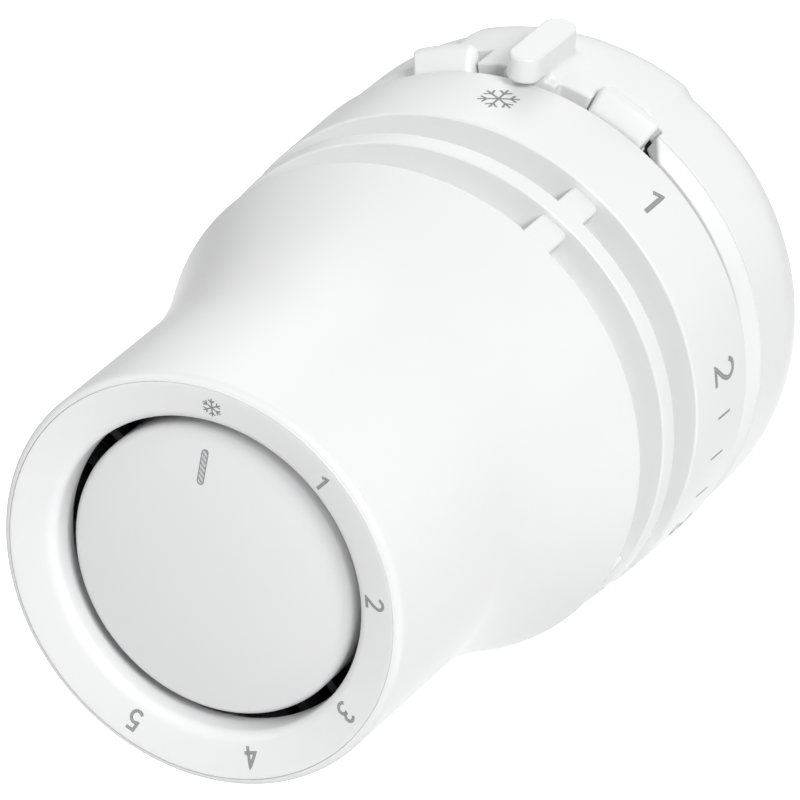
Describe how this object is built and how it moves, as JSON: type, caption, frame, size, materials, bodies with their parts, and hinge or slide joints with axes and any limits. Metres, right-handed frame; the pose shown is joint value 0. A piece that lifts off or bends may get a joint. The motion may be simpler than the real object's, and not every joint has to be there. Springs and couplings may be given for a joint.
{
  "type": "thermostatic radiator valve head",
  "caption": "Thermostatic radiator valve head: turning handle, fixed dial disc, sensor capsule on a setting thread, limiters and a snap-fit valve socket.",
  "frame": {"origin": "on the head's axis in the mouth plane of the valve socket, which is the rear face", "axes": "+Y along the axis, out of the rear towards the valve; the dial faces -Y; +Z is the side with the pointer"},
  "size_m": [0.057, 0.088, 0.0608],
  "materials": {
    "white_shell": "fine satin moulded polycarbonate blend",
    "white_disc": "fine satin moulding",
    "limiter_white": "satin acetal",
    "frame_grey": "glass-filled nylon",
    "frame_black": "fine textured nylon",
    "acetal_natural": "natural acetal",
    "spring_steel": "drawn wire and stamped strip",
    "can_aluminium": "deep-drawn cup",
    "bellows_brass": "thin formed brass"
  },
  "bodies": {
    "base": {"rear_collar": "white_shell", "socket_body": "frame_grey", "jaw_spring": "spring_steel", "guide_sleeve": "frame_grey", "retaining_clip": "spring_steel", "friction_washer": "spring_steel", "front_carrier": "frame_black", "front_disc": "white_disc", "return_spring": "spring_steel", "min_limiter_spring": "spring_steel", "max_limiter_spring": "spring_steel"},
    "handle": {"handle_shell": "white_shell", "thread_sleeve": "acetal_natural", "stop_ring": "acetal_natural"},
    "carriage": {"sensor_carriage": "acetal_natural", "carriage_cap": "acetal_natural", "overtravel_spring": "spring_steel", "sensor_can": "can_aluminium", "can_plate": "can_aluminium", "bellows": "bellows_brass"},
    "push_rod": {"push_rod": "acetal_natural", "rod_tip": "bellows_brass"},
    "min_limiter": {"min_limiter": "limiter_white"},
    "max_limiter": {"max_limiter": "limiter_white"},
    "snap_jaw_left": {"snap_jaw_left": "frame_black"},
    "snap_jaw_right": {"snap_jaw_right": "frame_black"}
  },
  "joints": [
    {"name": "handle_turn", "type": "hinge", "parent": "base", "child": "handle", "pos_m": [0, 0, 0], "axis": [0, -1, 0], "range_deg": [0, 200]},
    {"name": "carriage_slide", "type": "slide", "parent": "base", "child": "carriage", "axis": [0, -1, 0], "range_m": [0, 0.004]},
    {"name": "push_rod_slide", "type": "slide", "parent": "carriage", "child": "push_rod", "axis": [0, 1, 0], "range_m": [0, 0.0025], "stiffness_N_per_m": 100, "deforming": ["return_spring", "bellows"]},
    {"name": "min_limiter_slide", "type": "slide", "parent": "base", "child": "min_limiter", "axis": [0, 1, 0], "range_m": [0, 0.0018], "stiffness_N_per_m": 30, "deforming": ["min_limiter_spring"]},
    {"name": "max_limiter_slide", "type": "slide", "parent": "base", "child": "max_limiter", "axis": [0, 1, 0], "range_m": [0, 0.0018], "stiffness_N_per_m": 30, "deforming": ["max_limiter_spring"]},
    {"name": "snap_jaw_left_slide", "type": "slide", "parent": "base", "child": "snap_jaw_left", "axis": [1, 0, 0], "range_m": [0, 0.0011]},
    {"name": "snap_jaw_right_slide", "type": "slide", "parent": "base", "child": "snap_jaw_right", "axis": [-1, 0, 0], "range_m": [0, 0.0011]}
  ],
  "couplings": [
    {"joint": "carriage_slide", "follows": "handle_turn", "m_per_rad": 0.0011459}
  ]
}
